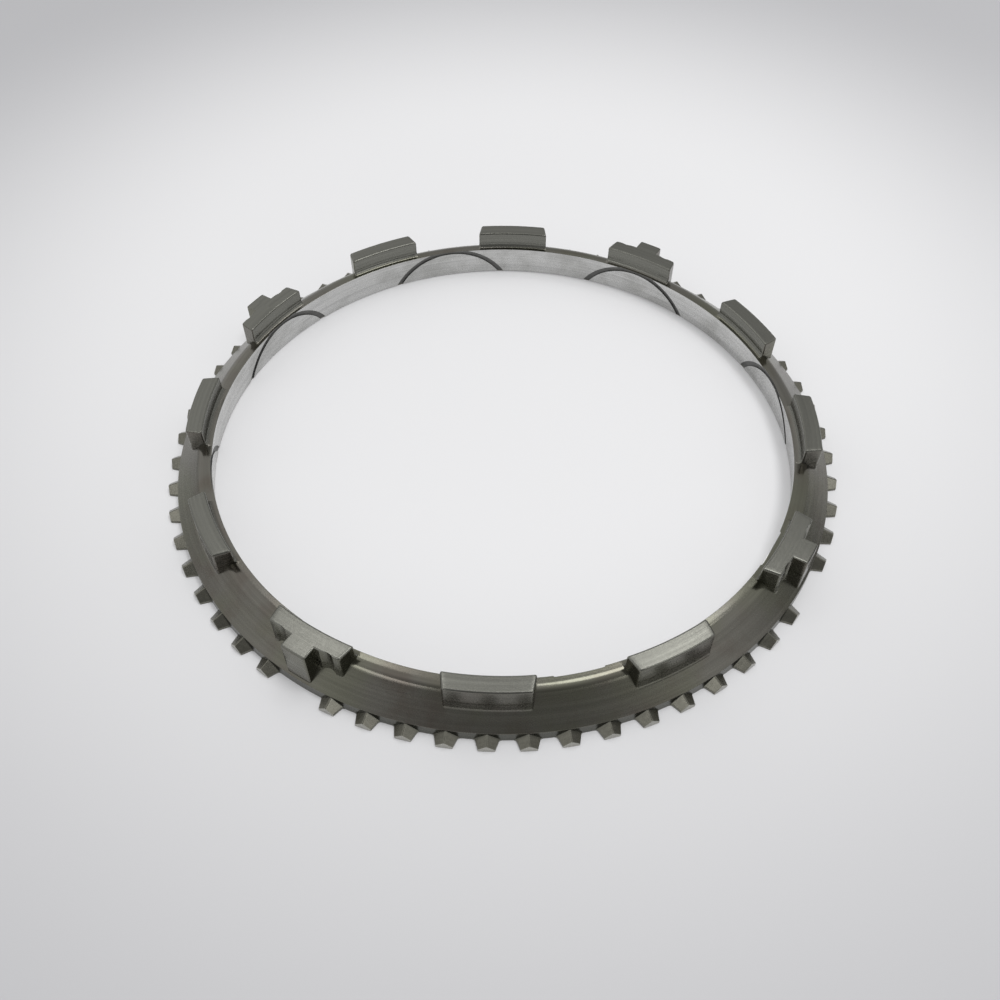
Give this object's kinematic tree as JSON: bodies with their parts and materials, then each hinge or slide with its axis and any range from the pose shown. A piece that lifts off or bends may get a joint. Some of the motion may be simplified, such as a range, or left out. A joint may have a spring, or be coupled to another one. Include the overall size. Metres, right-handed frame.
{
  "type": "synchronizer ring",
  "caption": "Steel synchronizer ring for a gearbox: friction cone with arched oil grooves, blocking teeth round the flange and driving lugs on the rim.",
  "frame": {"origin": "on the ring's axis, on the flat toothed side that it rests on", "axes": "+Z along the ring's axis towards the lugs; +X through the middle of a stop lug"},
  "size_m": [0.1514, 0.1514, 0.012],
  "materials": {
    "steel": "turned and ground steel, dark oiled on the flare and bright on the cone"
  },
  "bodies": {
    "root": {"synchronizer_ring": "steel"}
  },
  "joints": []
}
